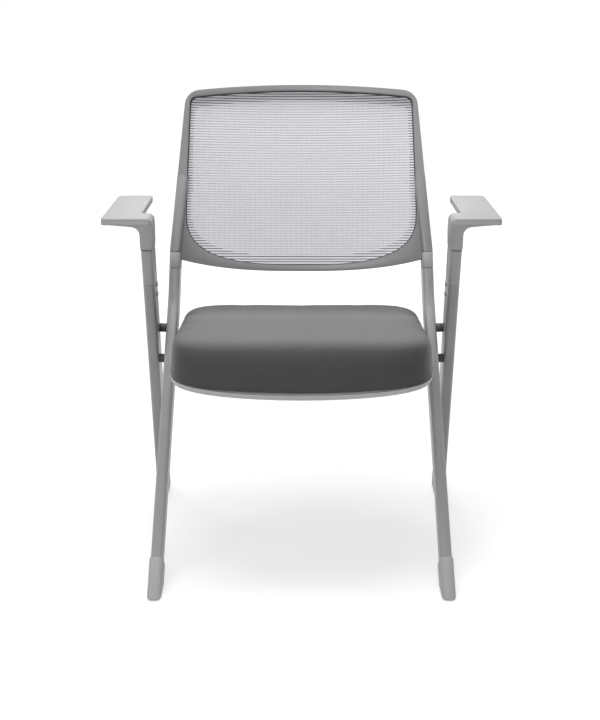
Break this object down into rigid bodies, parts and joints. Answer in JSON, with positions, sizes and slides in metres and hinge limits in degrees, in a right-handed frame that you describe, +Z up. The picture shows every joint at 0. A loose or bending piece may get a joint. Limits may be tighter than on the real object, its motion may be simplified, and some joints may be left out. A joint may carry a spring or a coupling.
{
  "type": "nesting chair",
  "caption": "Arm chair on crossed side frames with a mesh back and an upholstered seat that flips up, so that such chairs nest.",
  "frame": {"origin": "on the floor, in the middle of the chair between its front and rear feet", "axes": "+Z up, the sitter faces -Y, +X is the right side of the picture"},
  "size_m": [0.6674, 0.5831, 0.8315],
  "materials": {
    "frame_steel": "satin grey powder coat",
    "foot_plastic": "satin grey moulded plastic",
    "glide": "dark nylon glide",
    "spacer": "black nylon",
    "fastener": "zinc plated",
    "arm_plastic": "satin grey moulded plastic",
    "arm_pad": "light grey soft-touch cap",
    "back_plastic": "satin grey moulded plastic",
    "mesh": "light ribbed mesh",
    "pan": "light grey moulded pan",
    "board": "plain plywood",
    "cushion": "dark grey woven fabric",
    "bracket": "black powder coat",
    "bumper": "black rubber"
  },
  "bodies": {
    "frame": {"left_front_leg": "frame_steel", "right_front_leg": "frame_steel", "left_rear_leg": "frame_steel", "right_rear_leg": "frame_steel", "axle_tube": "frame_steel", "left_front_foot": "foot_plastic", "right_front_foot": "foot_plastic", "left_rear_foot": "foot_plastic", "right_rear_foot": "foot_plastic", "glide_pads": "glide", "frame_spacers": "spacer", "frame_bolts": "fastener", "sleeve_nuts": "fastener", "arm_screws": "fastener", "collar_screws": "fastener", "left_arm": "arm_plastic", "right_arm": "arm_plastic", "left_arm_pad": "arm_pad", "right_arm_pad": "arm_pad", "back_frame": "back_plastic", "mesh_carrier": "back_plastic", "left_collar": "back_plastic", "right_collar": "back_plastic", "back_mesh": "mesh", "stop_arms": "bracket"},
    "seat": {"seat_pan": "pan", "seat_board": "board", "seat_cushion": "cushion", "left_seat_bracket": "bracket", "right_seat_bracket": "bracket", "hinge_bushes": "spacer", "saddle_caps": "bracket", "cap_screws": "fastener", "bracket_screws": "fastener", "seat_bumpers": "bumper"}
  },
  "joints": [
    {"name": "seat_flip", "type": "hinge", "parent": "frame", "child": "seat", "pos_m": [0, -0.00334, 0.35], "axis": [-1, 0, 0], "range_deg": [0, 80]}
  ]
}
